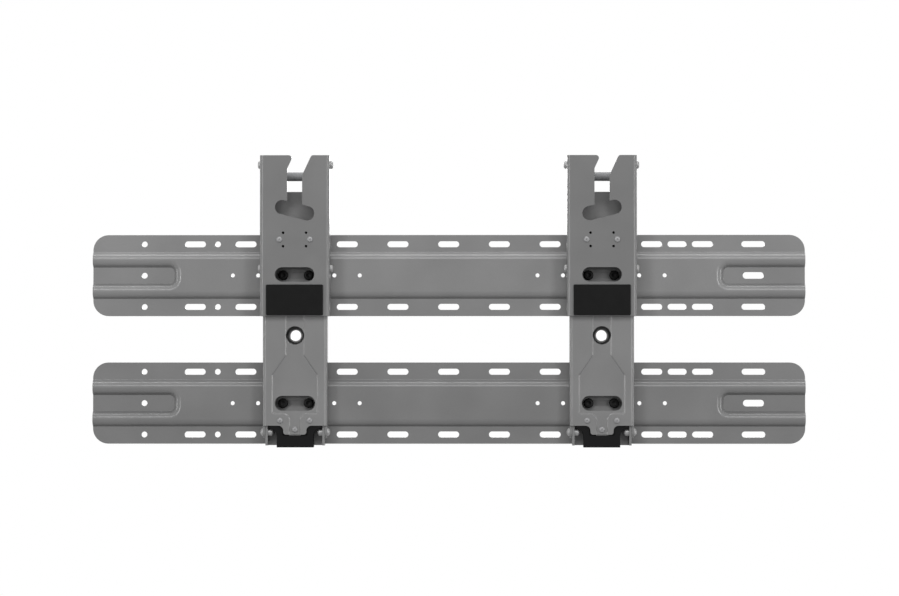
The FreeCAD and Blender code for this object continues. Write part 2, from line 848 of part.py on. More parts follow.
def end_block(name):
    """A moulded block with shoulders that arch round the bottom rivets' tails."""
    body = new_body(name)
    drawing = Drawing(body, "XZ_Plane", CHANNEL_FRONT)
    half = d.block_width / 2
    shoulder = CHANNEL_INSIDE - d.block_gap
    bottom = FOOT - d.block_foot_drop
    step = FOOT - d.block_shoulder_drop
    top = FOOT + d.block_rise
    drawing.outline(
        (-half, bottom),
        (half, bottom),
        (half, step, d.block_arch_round),
        (shoulder, step),
        (shoulder, top, d.bend_inside),
        (-shoulder, top, d.bend_inside),
        (-shoulder, step),
        (-half, step, d.block_arch_round),
    )
    front = LOWER_FRONT - d.arm_sheet
    pad(body, drawing, front - CHANNEL_FRONT)

    groove = Drawing(body, "XZ_Plane", front)
    reach = d.relief_stem_width / 2 + d.relief_stem_round + d.block_gap
    groove.box(-reach, reach, FOOT - d.tongue_drop - RUN_OUT, top + RUN_OUT)
    cut(body, groove, d.relief_depth)

    def in_channel_bend(edge):
        beside = any(lies_at(edge, "X", shoulder.value * side) for side in (-1, 1))
        return beside and lies_at(edge, "Y", -CHANNEL_FRONT.value)

    fillet(body, d.bend_inside + d.block_gap, in_channel_bend)

    tail_tip = CHANNEL_INSIDE - d.long_tail_rise - d.block_gap
    for start in (shoulder, -tail_tip):
        arch = Drawing(body, "YZ_Plane", start)
        arch.circle(-d.rivet_out, BOTTOM_RIVET, d.rivet_tail_width + d.block_gap * 2)
        cut(body, arch, shoulder - tail_tip)

    holes = Drawing(body, "XZ_Plane", front)
    holes.circle(0, TONGUE_SCREW, SCREW_HOLE)
    for side in (-1, 1):
        holes.circle(d.block_screw_spread / 2 * side, BLOCK_SCREW, SCREW_HOLE)
    cut(body, holes, d.screw_length + RUN_OUT)
    return body


def spacer_block(name):
    """A moulded block that holds the hook plate off the back channel."""
    body = new_body(name)
    drawing = Drawing(body, "XZ_Plane", CHANNEL_FRONT)
    half_width = d.spacer_width / 2
    half_height = d.spacer_height / 2
    drawing.box(-half_width, half_width, SPACER - half_height, SPACER + half_height,
                d.spacer_corner)
    front = HOOK_FRONT - d.arm_sheet
    pad(body, drawing, front - CHANNEL_FRONT)

    pegs = Drawing(body, "XZ_Plane", front)
    peg_holes(pegs)
    screws = Drawing(body, "XZ_Plane", front)
    for side in (-1, 1):
        screws.circle(d.spacer_screw_spread / 2 * side, SPACER, SCREW_HOLE)
    cut(body, pegs, d.peg_hole_depth)
    cut(body, screws, d.screw_length + RUN_OUT)
    return body


# Turned pieces: each is drawn as a half section, with its axis along X


def turned(name, *corners):
    """Turn a half section of (along, radius) corners about its axis."""
    body = new_body(name)
    drawing = Drawing(body, "XY_Plane")
    drawing.outline(*corners)
    item = feature(body, "Revolution", drawing)
    item.ReferenceAxis = (drawing.sketch, ["H_Axis"])
    item.Angle = 360
    return body


def socket(body, top, across_flats, depth):
    """Sink a hexagon socket into the face at the top of a turned head."""
    drawing = Drawing(body, "YZ_Plane", top)
    half = across_flats / 2
    point = across_flats / math.sqrt(3)
    drawing.outline(
        (point, 0),
        (point / 2, half),
        (-point / 2, half),
        (-point, 0),
        (-point / 2, -half),
        (point / 2, -half),
    )
    cut(body, drawing, depth)


def cross_rod(name):
    """A plain rod through both ears of the channel."""
    reach = d.channel_width / 2 + d.rod_end
    radius = d.rod_bore / 2
    return turned(name, (-reach, 0), (reach, 0), (reach, radius), (-reach, radius))


def rivet(name, seat, tail_rise, shoulder=None):
    """A dome rivet from a flange's outer face, at seat, to a tail inside the channel.

    A shoulder fills the space between the hook plate's flange and the channel's.
    """
    inner = CHANNEL_INSIDE
    shank = d.rivet_shank / 2
    tail = d.rivet_tail_width / 2
    head = d.rivet_head_width / 2
    step = []
    if shoulder:
        outer_face = seat - d.arm_sheet
        inner_face = d.channel_width / 2
        step = [(inner_face, shank), (inner_face, tail), (outer_face, tail), (outer_face, shank)]
    return turned(
        name,
        (inner - tail_rise, 0),
        (seat + d.rivet_head_rise, 0),
        (seat + d.rivet_head_rise, head, d.rivet_head_round),
        (seat, head),
        (seat, shank),
        *reversed(step),
        (inner, shank),
        (inner, tail),
        (inner - tail_rise, tail, d.edge_round),
    )


def rail_bolt(name):
    """A socket bolt through the channel's slot into a threaded hole in the rail."""
    seat = CHANNEL_FRONT
    head = d.bolt_head_width / 2
    stem = d.arm_hole_bore / 2 - d.fit_gap / 2
    top = seat + d.bolt_head_rise
    body = turned(
        name,
        (d.bolt_tip_out, 0),
        (top, 0),
        (top, head, d.edge_round),
        (seat, head),
        (seat, d.bolt_shank / 2),
        (d.rail_depth, d.bolt_shank / 2),
        (d.rail_depth, stem),
        (d.bolt_tip_out, stem, d.edge_round),
    )
    socket(body, top, d.bolt_socket, d.bolt_socket_depth)
    return body


def small_screw(name, seat):
    """A small screw whose head sits on a plate's front face, at seat."""
    head = d.screw_head_width / 2
    shank = d.screw_shank / 2
    top = seat + d.screw_head_rise
    tip = seat - d.screw_length
    body = turned(
        name,
        (tip, 0),
        (top, 0),
        (top, head, d.screw_head_round),
        (seat, head),
        (seat, shank),
        (tip, shank),
    )
    socket(body, top, d.screw_socket, d.screw_socket_depth)
    return body


def group(name, members):
    """Keep identical fasteners together as one sub-part of separate solids."""
    item = doc.addObject("Part::Compound", name)
    item.Label = name
    item.Links = members
    return item


def rivet_pair(name, middle, level, seat, tail_rise, shoulder=None):
    members = []
    for suffix, turn in (("a", 180), ("b", 0)):
        item = rivet(f"{name}_{suffix}", seat, tail_rise, shoulder)
        place(item, middle, d.rivet_out, level, turn)
        members.append(item)
    return group(name, members)


def facing_out(name, makes, places):
    """Set turned pieces in a group, with their heads toward the front."""
    members = []
    for number, (x, level) in enumerate(places, start=1):
        item = makes(f"{name}_{number}")
        place(item, x, 0, level, -90)
        members.append(item)
    return group(name, members)


def arm(side, sign):
    """Build one upright arm with its fasteners, and set it on the rails."""
    middle = d.arm_pitch / 2 * sign
    plates = [
        back_channel(f"{side}_back_channel"),
        lower_plate(f"{side}_lower_plate"),
        hook_plate(f"{side}_hook_plate", -sign),
        front_pad(f"{side}_front_pad"),
        end_block(f"{side}_end_block"),
        spacer_block(f"{side}_spacer_block"),
    ]
    for item in plates:
        place(item, middle)
    rod = cross_rod(f"{side}_cross_rod")
    place(rod, middle, d.rod_out, ROD)

    hook_seat = HOOK_WIDTH / 2
    lower_seat = LOWER_WIDTH / 2
    fasteners = [
        rivet_pair(f"{side}_top_rivets", middle, TOP_RIVET, hook_seat,
                   d.rivet_tail_rise, shoulder=True),
        rivet_pair(f"{side}_middle_rivets", middle, MIDDLE_RIVET, hook_seat,
                   d.rivet_tail_rise),
        rivet_pair(f"{side}_bottom_rivets", middle, BOTTOM_RIVET, lower_seat,
                   d.long_tail_rise),
    ]
    for rail, level in (("upper", UPPER), ("lower", LOWER)):
        places = [(middle + d.arm_hole_pitch / 2 * step, level) for step in (-1, 1)]
        fasteners.append(facing_out(f"{side}_{rail}_rail_bolts", rail_bolt, places))

    def spacer_screw(name):
        return small_screw(name, HOOK_FRONT)

    places = [(middle + d.spacer_screw_spread / 2 * step, SPACER) for step in (-1, 1)]
    fasteners.append(facing_out(f"{side}_spacer_screws", spacer_screw, places))

    def block_screw(name):
        return small_screw(name, LOWER_FRONT)

    places = [(middle + d.block_screw_spread / 2 * step, BLOCK_SCREW) for step in (-1, 1)]
    fasteners.append(facing_out(f"{side}_block_screws", block_screw, places))

    def tongue_screw(name):
        return small_screw(name, LOWER_FRONT - d.relief_depth)

    fasteners.append(facing_out(f"{side}_tongue_screw", tongue_screw,
                                [(middle, TONGUE_SCREW)]))
    return plates + [rod] + fasteners


def check(items):
    """Stop if any object of the document failed or any sub-part isn't sound."""
    for item in doc.Objects:
        bad = [state for state in item.State if state in ("Invalid", "Error")]
        if bad:
            raise RuntimeError(f"{item.Name}: {bad}")
    for item in items:
        shape = item.Shape
        if shape.isNull() or not shape.isValid() or not shape.Solids:
            raise RuntimeError(f"{item.Label}: its shape isn't sound")


def main():
    write_sheet()
    items = [
        wall_rail("upper_wall_rail", UPPER),
        wall_rail("lower_wall_rail", LOWER),
    ]
    items += arm("left", -1)
    items += arm("right", 1)
    doc.recompute()
    check(items)
    os.makedirs("parts", exist_ok=True)
    for item in items:
        item.Shape.exportStep(f"parts/{item.Label}.step")


main()
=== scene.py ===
"""Looks of a fixed wall bracket for a large flat screen.

Two pressed rails carry two upright arms. Everything folded from sheet is powder coated grey.
The rivets and the small screws are zinc plated, the cross rods are coated with zinc flake, and
the rail bolts are black. The resting pads are foam, and the blocks are moulded nylon.
Units are metres. X runs right along the rails, Z up, and the front faces -Y.
"""

import json
import math

import bpy
import numpy as np
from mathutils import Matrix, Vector


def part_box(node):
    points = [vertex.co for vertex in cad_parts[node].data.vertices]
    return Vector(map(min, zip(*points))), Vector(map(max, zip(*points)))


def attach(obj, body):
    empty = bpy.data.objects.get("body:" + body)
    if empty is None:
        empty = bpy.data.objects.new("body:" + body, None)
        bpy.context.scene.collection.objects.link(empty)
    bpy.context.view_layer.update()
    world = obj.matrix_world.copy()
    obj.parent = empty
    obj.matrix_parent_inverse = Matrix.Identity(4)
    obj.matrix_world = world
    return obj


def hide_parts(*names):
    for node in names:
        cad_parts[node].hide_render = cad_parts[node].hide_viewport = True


MM = 0.001
SIDES = ("left", "right")
TURN = 2 * math.pi

# Photograph's view: where the camera stands, what it aims at, the width of its sensor and its
# long lens in millimetres, and how far it sees in metres
CAMERA_PLACE = (39.3 * MM, -3269.2 * MM, -33.5 * MM)
CAMERA_AIM = (0.8 * MM, 0, 41.4 * MM)
SENSOR_WIDTH = 36
LENS = 130.65
FARTHEST_SEEN = 100

# Rail bolts: a socket cap head with a knurled side, a plain shank and a threaded stem
BOLT_HEAD_RISE = 5.0 * MM
BOLT_CHAMFER = 0.55 * MM
BOLT_FACE_BEVEL = 0.35 * MM
BOLT_FACE_FALL = 0.12 * MM
BOLT_KNURLS = 36
BOLT_KNURL_POINTS = 6
BOLT_KNURL_DEPTH = 0.12 * MM
BOLT_KNURL_RUN_IN = 0.15 * MM
BOLT_KNURL_RUN_OUT = 0.3 * MM
BOLT_SOCKET_SIDES = 6
BOLT_SOCKET_HALF = 2.0 * MM
BOLT_SOCKET_DEPTH = 2.6 * MM
BOLT_SOCKET_POINT = 0.6 * MM
BOLT_SOCKET_CHAMFER = 0.25 * MM
BOLT_SHANK = 2.5 * MM
BOLT_SHANK_RISE = 2.3 * MM
BOLT_STEM = 1.95 * MM
BOLT_THREAD_PITCH = 0.8 * MM
BOLT_THREAD_DEPTH = 0.35 * MM
BOLT_THREAD_STEPS = 8
BOLT_SHARP_ANGLE = 32

# Small screws: a pan head with a cross recess. The dome starts at a share of the head's width
# and follows a superellipse of two powers. Each step of the recess is a share of its outline,
# and a depth
SCREW_POINTS = 144
SCREW_HEAD_RISE = 1.7 * MM
SCREW_RIM = 0.35 * MM
SCREW_DOME_RINGS = 7
SCREW_DOME_START = 0.72
SCREW_DOME_POWERS = (3.2, 2.4)
SCREW_CROSS_TURN = TURN / 16
SCREW_CROSS_REACH = 1.2 * MM
SCREW_CROSS_HALF = 0.36 * MM
SCREW_CROSS_DEPTH = 0.5 * MM
SCREW_CROSS_STEPS = ((0.35, 0.45 * MM), (0.94, 0.14 * MM), (1.0, 0.05 * MM))
SCREW_LAND = 0.12 * MM
SCREW_LAND_DEPTH = 0.06 * MM
SCREW_SHANK = 1.5 * MM
SCREW_POINT_RISE = 0.6 * MM
SCREW_POINT_SHARE = 0.6
SCREW_SHARP_ANGLE = 35

# Bottom rivets: a domed head outside the plate, and a long domed tail inside the channel
RIVET_POINTS = 72
RIVET_DOME_RINGS = 12
RIVET_HEAD_RISE = 2.9 * MM
RIVET_SHANK = 2.5 * MM
RIVET_TAIL = 3.65 * MM
RIVET_TAIL_RISE = 2.6 * MM
RIVET_GRIP = 4.85 * MM
RIVET_LENGTH = 13.55 * MM
RIVET_SHARP_ANGLE = 35

# Resting pads: closed-cell foam with a soft rim
PAD_RIM = 0.55 * MM
PAD_RIM_RINGS = 6
PAD_FACE_RINGS = 12
PAD_CORNER = 1.1 * MM
PAD_CORNER_LEAST = 0.02 * MM
PAD_CORNER_POINTS = 8
PAD_CROWN = 0.18 * MM
PAD_SHARP_ANGLE = 50

# Powder coats, by a word in the names of the nodes that wear them: the material's name, its dark
# and pale tone, the strength of its clear reflection, and its least roughness
PAINTS = {
    # The two rails wear lit and shaded copies of one coat: the upper rail's paler tone is painted
    # light and the lower rail's darker tone is painted shade, for light that falls off downwards
    "upper_wall_rail": ("upper_rail_powder_coat_painted_light", "#757575", "#7d7d7d", 0.3, 0.2),
    "lower_wall_rail": ("lower_rail_powder_coat_painted_shade", "#6b6b6b", "#737373", 0.3, 0.2),
    "hook_plate": ("hook_powder_coated_steel", "#646464", "#6c6c6c", 0.38, 0.24),
}
ARM_PAINT = ("arm_powder_coated_steel", "#6e6e6e", "#767676", 0.38, 0.24)

# Powder coat's grain: the widths of its swells, its speckle and its faint clouds, the speckle's
# weight beside the clouds, the shift that brings their sum back to a noise's middle, and how
# far the roughness varies
PEEL_WIDTH = 1.8 * MM
SPECKLE_WIDTH = 0.45 * MM
CLOUD_WIDTH = 60 * MM
SPECKLE_WEIGHT = 0.45
MOTTLE_SHIFT = 0.22
PAINT_ROUGH_SPREAD = 0.03

# Passivated zinc: the share of its surface that shines as bare metal, and how far its roughness
# varies
ZINC_METAL_SHARE = 0.4
ZINC_ROUGH_SPREAD = 0.12

# Part of a noise's range that is spread over a finish's whole range
NOISE_LOW = 0.3
NOISE_HIGH = 0.7

# Floor: its depth under the frame's middle, half its width, its colour as it bounces light and
# as it is seen, and the share of what is seen that glows white
FLOOR_DROP = 0.9
FLOOR_HALF = 6.0
FLOOR_BOUNCE = "#888888"
FLOOR_SEEN = "#f4f4f4"
FLOOR_GLOW = 0.85
WHITE = "#ffffff"

# Studio: each lamp's place, its width and height, and its strength in watts
LAMPS = {
    "left_front_softbox": ((-1.42, -2.7, 0.32), (0.5, 0.8), 18.5),
    "right_front_softbox": ((1.42, -2.7, 0.32), (0.5, 0.8), 20.0),
    "high_front_softbox": ((0.0, -2.7, 1.35), (2.4, 0.8), 42.5),
    "top_softbox": ((0.0, -0.14, 1.6), (2.0, 0.36), 21.0),
    "left_softbox": ((-3.0, -0.4, 0.05), (0.5, 2.2), 26.0),
    "right_softbox": ((3.0, -0.4, 0.05), (0.5, 2.2), 28.0),
    "back_softbox": ((0.0, 3.0, 1.2), (2.4, 2.0), 90.0),
}

# Strength of the even light that reaches the object from all round
FILL_STRENGTH = 0.24

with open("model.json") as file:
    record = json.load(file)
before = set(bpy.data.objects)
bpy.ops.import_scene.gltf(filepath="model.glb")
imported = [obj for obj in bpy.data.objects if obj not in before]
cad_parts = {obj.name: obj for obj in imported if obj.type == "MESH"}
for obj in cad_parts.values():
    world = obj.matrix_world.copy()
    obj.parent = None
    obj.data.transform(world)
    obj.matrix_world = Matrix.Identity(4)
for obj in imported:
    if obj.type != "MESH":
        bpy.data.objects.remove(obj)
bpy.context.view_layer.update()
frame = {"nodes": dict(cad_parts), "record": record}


def linear(code):
    """Turn an sRGB hex colour into linear RGBA, by the curve that sRGB states."""
    parts = np.array([int(code[i:i + 2], 16) for i in (1, 3, 5)]) / 255
    parts = np.where(parts <= 0.04045, parts / 12.92, ((parts + 0.055) / 1.055) ** 2.4)
    return (*parts.tolist(), 1.0)


def add(tree, kind, settings=None, links=None):
    """Add a shader node with its settings, and link its inputs to other nodes' outputs."""
    node = tree.nodes.new(f"ShaderNode{kind}")
    for name, value in (settings or {}).items():
        if isinstance(name, int) or name in node.inputs:
            node.inputs[name].default_value = value
        else:
            setattr(node, name, value)
    for name, source in (links or {}).items():
        tree.links.new(source, node.inputs[name])
    return node


def bare_tree(owner):
    """Switch a material or world to nodes, and give its tree with nothing in it."""
    owner.use_nodes = True
    owner.node_tree.nodes.clear()
    return owner.node_tree


def new_finish(name, settings):
    """Start a finish: its material, tree, shader and object coordinates."""
    finish = bpy.data.materials.new(name)
    tree = bare_tree(finish)
    shader = add(tree, "BsdfPrincipled", settings)
    add(tree, "OutputMaterial", links={"Surface": shader.outputs["BSDF"]})
    place = add(tree, "TexCoord").outputs["Object"]
    return finish, tree, shader, place


def noise(tree, place, width, detail):
    """Give a soft noise whose swells are about a given width."""
    return add(tree, "TexNoise", {"Scale": 1 / width, "Detail": detail},
               {"Vector": place}).outputs["Fac"]


def tint(tree, shader, source, dark, pale):
    """Colour a finish by a noise, from a dark tone to a pale one."""
    ramp = add(tree, "ValToRGB", links={"Fac": source})
    ramp.color_ramp.elements[0].position = NOISE_LOW
    ramp.color_ramp.elements[1].position = NOISE_HIGH
    ramp.color_ramp.elements[0].color = linear(dark)
    ramp.color_ramp.elements[1].color = linear(pale)
    tree.links.new(ramp.outputs["Color"], shader.inputs["Base Color"])


def roughen(tree, shader, source, low, high):
    """Vary a finish's roughness by a noise, from low to high about its middle."""
    rough = add(tree, "MapRange", {"From Min": NOISE_LOW, "From Max": NOISE_HIGH,
                                   "To Min": low, "To Max": high}, {"Value": source})
    tree.links.new(rough.outputs["Result"], shader.inputs["Roughness"])


def emboss(tree, shader, height, strength, distance, edge=None):
    """Raise a finish by a height, over edges that an edge's node rounds if there is one."""
    links = {"Height": height}
    if edge:
        links["Normal"] = edge.outputs["Normal"]
    bump = add(tree, "Bump", {"Strength": strength, "Distance": distance}, links)
    tree.links.new(bump.outputs["Normal"], shader.inputs["Normal"])


def powder_coated_steel(name, dark, pale, shine, rough):
    """Polyester powder coat on pressed cold-rolled sheet, sprayed dry and baked.

    It gives the eye an even satin grey with a faint orange peel, whose swells are about
    1.8 mm across, and a finer speckle where the grains flowed together. Shine is the strength
    of its clear reflection, and rough how far that spreads.
    """
    finish, tree, shader, place = new_finish(name, {"IOR": 1.5, "Specular IOR Level": shine})
    peel = noise(tree, place, PEEL_WIDTH, 2.0)
    speckle = noise(tree, place, SPECKLE_WIDTH, 1.0)
    cloud = noise(tree, place, CLOUD_WIDTH, 2.0)
    mottle = add(tree, "Math", {"operation": "MULTIPLY_ADD", 1: SPECKLE_WEIGHT},
                 {0: speckle, 2: cloud})
    even = add(tree, "Math", {"operation": "SUBTRACT", 1: MOTTLE_SHIFT},
               {0: mottle.outputs["Value"]})
    tint(tree, shader, even.outputs["Value"], dark, pale)
    roughen(tree, shader, peel, rough, rough + PAINT_ROUGH_SPREAD)
    edge = add(tree, "Bevel", {"Radius": 0.25 * MM, "samples": 8})
    emboss(tree, shader, peel, 0.05, 0.06 * MM, edge)
    return finish


def zinc_plated_steel(name, dark, pale, gloss):
    """Zinc on headed steel, passivated: a thin clear film dulls the metal to a soft pale grey.

    It gives the eye a shine that is partly metal and partly matt, with a faintly mottled grain
    about 1.5 mm wide. Gloss is its least roughness.
    """
    finish, tree, shader, place = new_finish(name, {"Metallic": ZINC_METAL_SHARE})
    grain = noise(tree, place, 1.5 * MM, 2.0)
    tint(tree, shader, grain, dark, pale)
    roughen(tree, shader, grain, gloss, gloss + ZINC_ROUGH_SPREAD)
    return finish


def zinc_flake_coated_steel():
    """Zinc flake in a grey binder, dipped and baked on the turned rods.

    It gives the eye an even silver grey that shades softly round the rod, with fine turning
    marks about a millimetre apart.
    """
    finish, tree, shader, place = new_finish("zinc_flake_coated_steel", {"IOR": 1.5})
    marks = add(tree, "TexWave", {"Scale": 1 / (3 * MM), "Distortion": 1.5, "Detail": 2.0},
                {"Vector": place}).outputs["Fac"]
    tint(tree, shader, marks, "#6c6d6f", "#777879")
    roughen(tree, shader, marks, 0.5, 0.58)
    return finish


def black_oxide_steel():
    """Black oxide on cap screws: near black, with a dull oily shine."""
    finish, tree, shader, place = new_finish("black_oxide_steel",
                                            {"IOR": 1.6, "Specular IOR Level": 0.1})
    grain = noise(tree, place, 0.5 * MM, 3.0)
    tint(tree, shader, grain, "#050505", "#0b0b0b")
    roughen(tree, shader, grain, 0.34, 0.5)
    return finish


def foam_pad_skin():
    """Closed-cell foam: a dead matt near-black skin with pores about half a millimetre wide."""
    finish, tree, shader, place = new_finish("foam_pad_skin",
                                            {"IOR": 1.45, "Specular IOR Level": 0.1})
    pores = add(tree, "TexVoronoi", {"Scale": 1 / (0.55 * MM)}, {"Vector": place})
    cloud = noise(tree, place, 9 * MM, 2.0)
    tint(tree, shader, cloud, "#161616", "#1b1b1b")
    roughen(tree, shader, cloud, 0.84, 0.94)
    emboss(tree, shader, pores.outputs["Distance"], 0.3, 0.05 * MM)
    return finish


def moulded_nylon():
    """Glass-filled nylon, moulded black: a spark-eroded grain about 0.4 mm wide."""
    finish, tree, shader, place = new_finish("moulded_nylon",
                                            {"IOR": 1.53, "Specular IOR Level": 0.09})
    grain = noise(tree, place, 0.4 * MM, 3.0)
    tint(tree, shader, grain, "#060607", "#0b0b0c")
    roughen(tree, shader, grain, 0.55, 0.7)
    edge = add(tree, "Bevel", {"Radius": 0.3 * MM, "samples": 6})
    emboss(tree, shader, grain, 0.25, 0.04 * MM, edge)
    return finish


def new_piece(name, points, finish, sharp):
    """Make a closed piece of a grid of points: rows are rings, and each ring closes on itself.

    The first and last rings are single points repeated, so that both poles are closed. The
    piece is shaded smooth, apart from edges that turn by more than sharp, in degrees.
    """
    rings, count, _ = points.shape
    inner = points[1:-1].reshape(-1, 3)
    vertices = np.concatenate([points[:1, 0], inner, points[-1:, 0]])
    step = np.arange(count)
    after = (step + 1) % count
    pairs = list(zip(step.tolist(), after.tolist()))
    starts = 1 + np.arange(rings - 3)[:, None] * count
    quads = np.stack([starts + after, starts + step, starts + count + step,
                      starts + count + after], axis=2)
    base, last = 1 + (rings - 3) * count, len(vertices) - 1
    faces = [(0, 1 + a, 1 + b) for a, b in pairs]
    faces += quads.reshape(-1, 4).tolist()
    faces += [(base + b, base + a, last) for a, b in pairs]
    mesh = bpy.data.meshes.new(name)
    mesh.from_pydata(vertices.tolist(), [], faces)
    mesh.update()
    piece = bpy.data.objects.new(name, mesh)
    bpy.context.scene.collection.objects.link(piece)
    mesh.materials.append(finish)
    mesh.shade_smooth()
    mesh.set_sharp_from_angle(angle=math.radians(sharp))
    return piece


def join(name, pieces):
    """Join pieces of one kind into one."""
    bpy.context.view_layer.update()
    with bpy.context.temp_override(active_object=pieces[0], selected_editable_objects=pieces,
                                   selected_objects=pieces):
        bpy.ops.object.join()
    pieces[0].name = name
    return pieces[0]


def seat(piece, node):
    """Let a finished piece stand for its node and ride with the bracket."""
    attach(piece, "root")
    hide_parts(node)


def fastener_places(node, count):
    """Read a node's equal fasteners from its box.

    Gives the X of each one's axis, and for all of them the axis' level, the head's radius, and
    the Y of the head's top and of the tip.
    """
    low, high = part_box(node)
    half = (high.z - low.z) / 2
    level = (low.z + high.z) / 2
    return np.linspace(low.x + half, high.x - half, count), level, half, low.y, high.y


def turned_piece(name, rows, x, level, finish, sharp):
    """Make a piece about an axis along Y, from rows of radius by angle and the row's Y."""
    radii = np.array([radius for radius, _ in rows])
    outs = np.broadcast_to([[out] for _, out in rows], radii.shape)
    angle = np.linspace(0, TURN, radii.shape[1], endpoint=False)
    points = np.stack([x + radii * np.cos(angle), outs, level + radii * np.sin(angle)], axis=2)
    return new_piece(name, points, finish, sharp)


def rail_bolt(x, level, head, front, tip, finish):
    """A cap screw, as rings of radius against angle from the socket's floor to the tip.

    The socket's rings are hexagons: half the flats' distance over the cosine of the angle from
    the nearest flat. The head's side is knurled by a rectified sine, and the stem is threaded by
    a triangle wave of the angle and the distance along it.
    """
    count = BOLT_KNURLS * BOLT_KNURL_POINTS
    angle = np.linspace(0, TURN, count, endpoint=False)
    ring = np.ones(count)
    side_turn = TURN / BOLT_SOCKET_SIDES
    from_flat = np.mod(angle, side_turn) - side_turn / 2
    hexagon = BOLT_SOCKET_HALF / np.cos(from_flat)
    knurl = head - BOLT_KNURL_DEPTH * np.abs(np.sin(angle * BOLT_KNURLS / 2))
    knurl_root = ring * (head - BOLT_KNURL_DEPTH)
    seat_y = front + BOLT_HEAD_RISE
    shank_y = seat_y + BOLT_SHANK_RISE
    stations = np.arange(shank_y, tip - BOLT_THREAD_PITCH / 2,
                         BOLT_THREAD_PITCH / BOLT_THREAD_STEPS)
    phase = np.mod(stations[:, None] / BOLT_THREAD_PITCH + angle / TURN, 1)
    thread = BOLT_STEM - BOLT_THREAD_DEPTH * np.abs(2 * phase - 1)
    rows = [
        (ring * 0, front + BOLT_SOCKET_DEPTH + BOLT_SOCKET_POINT),
        (hexagon, front + BOLT_SOCKET_DEPTH),
        (hexagon, front + BOLT_SOCKET_CHAMFER),
        (hexagon + BOLT_SOCKET_CHAMFER, front),
        (ring * (head - BOLT_CHAMFER - BOLT_FACE_BEVEL), front),
        (ring * (head - BOLT_CHAMFER), front + BOLT_FACE_FALL),
        (knurl_root, front + BOLT_CHAMFER),
        (knurl, front + BOLT_CHAMFER + BOLT_KNURL_RUN_IN),
        (knurl, seat_y - BOLT_KNURL_RUN_OUT),
        (knurl_root, seat_y),
        (ring * BOLT_SHANK, seat_y),
        (ring * BOLT_SHANK, shank_y),
        *zip(thread, stations),
        (ring * (BOLT_STEM - BOLT_THREAD_DEPTH * 2), tip),
        (ring * 0, tip),
    ]
    return turned_piece("bolt", rows, x, level, finish, BOLT_SHARP_ANGLE)


def cross_outline(angle, reach, half):
    """The radius of a cross-shaped outline: the further of two crossed bars at each angle."""
    no_less = 1e-6
    wide = np.maximum(np.abs(np.cos(angle)), no_less)
    tall = np.maximum(np.abs(np.sin(angle)), no_less)
    along = np.minimum(reach / wide, half / tall)
    across = np.minimum(half / wide, reach / tall)
    return np.maximum(along, across)


def small_screw(x, level, head, front, tip, finish):
    """A pan-head screw, as rings from the recess's point over the domed head to the tip.

    The head's dome is a quarter of a superellipse: its fall is one minus the root of one minus
    a power of the share of the head's width. The cross recess narrows to a point.
    """
    ring = np.ones(SCREW_POINTS)
    angle = np.linspace(0, TURN, SCREW_POINTS, endpoint=False)
    cross = cross_outline(angle + SCREW_CROSS_TURN, SCREW_CROSS_REACH, SCREW_CROSS_HALF)
    seat_y = front + SCREW_HEAD_RISE
    share = np.linspace(SCREW_DOME_START, 1, SCREW_DOME_RINGS)
    power, root = SCREW_DOME_POWERS
    fall = (1 - (1 - share ** power) ** (1 / root)) * (SCREW_HEAD_RISE - SCREW_RIM)
    rows = [
        (ring * 0, front + SCREW_CROSS_DEPTH),
        *((cross * part, front + depth) for part, depth in SCREW_CROSS_STEPS),
        (ring * (SCREW_CROSS_REACH + SCREW_LAND), front + SCREW_LAND_DEPTH),
        *zip(ring * head * share[:, None], front + fall),
        (ring * head, seat_y),
        (ring * SCREW_SHANK, seat_y),
        (ring * SCREW_SHANK, tip - SCREW_POINT_RISE),
        (ring * SCREW_SHANK * SCREW_POINT_SHARE, tip),
        (ring * 0, tip),
    ]
    return turned_piece("screw", rows, x, level, finish, SCREW_SHARP_ANGLE)


def dome_rivet(way, head_x, out, level, head, finish):
    """A rivet along X, as rings from the top of its head to the end of its tail.

    Both ends are half ellipses: the radius is the width times the sine of an angle, and the
    depth is the rise times one minus its cosine. Way is 1 where the rivet runs to the right of
    its head, and -1 where it runs to the left.
    """
    bow = np.linspace(0, TURN / 4, RIVET_DOME_RINGS)
    rises = 1 - np.cos(bow)
    grip_end = RIVET_HEAD_RISE + RIVET_GRIP
    radii = np.concatenate([
        head * np.sin(bow),
        [RIVET_SHANK, RIVET_SHANK, RIVET_TAIL],
        RIVET_TAIL * np.sin(bow[::-1]),
    ])[:, None]
    reach = np.concatenate([
        RIVET_HEAD_RISE * rises,
        [RIVET_HEAD_RISE, grip_end, grip_end],
        RIVET_LENGTH - RIVET_TAIL_RISE * rises[::-1],
    ])[:, None]
    angle = np.linspace(0, TURN, RIVET_POINTS, endpoint=False)
    points = np.stack(np.broadcast_arrays(
        head_x + way * reach,
        out + radii * np.cos(angle),
        level - way * radii * np.sin(angle),
    ), axis=2)
    return new_piece("rivet", points, finish, RIVET_SHARP_ANGLE)


def rounded_box_ring(half_x, half_z, corner):
    """The outline of a rounded rectangle: four quarter circles joined by straight sides."""
    quarter = np.linspace(0, TURN / 4, PAD_CORNER_POINTS)
    angle = np.concatenate([quarter + TURN / 4 * step for step in range(4)])
    sign_x = np.repeat([1, -1, -1, 1], PAD_CORNER_POINTS)
    sign_z = np.repeat([1, 1, -1, -1], PAD_CORNER_POINTS)
    x = (half_x - corner) * sign_x + corner * np.cos(angle)
    z = (half_z - corner) * sign_z + corner * np.sin(angle)
    return x, z


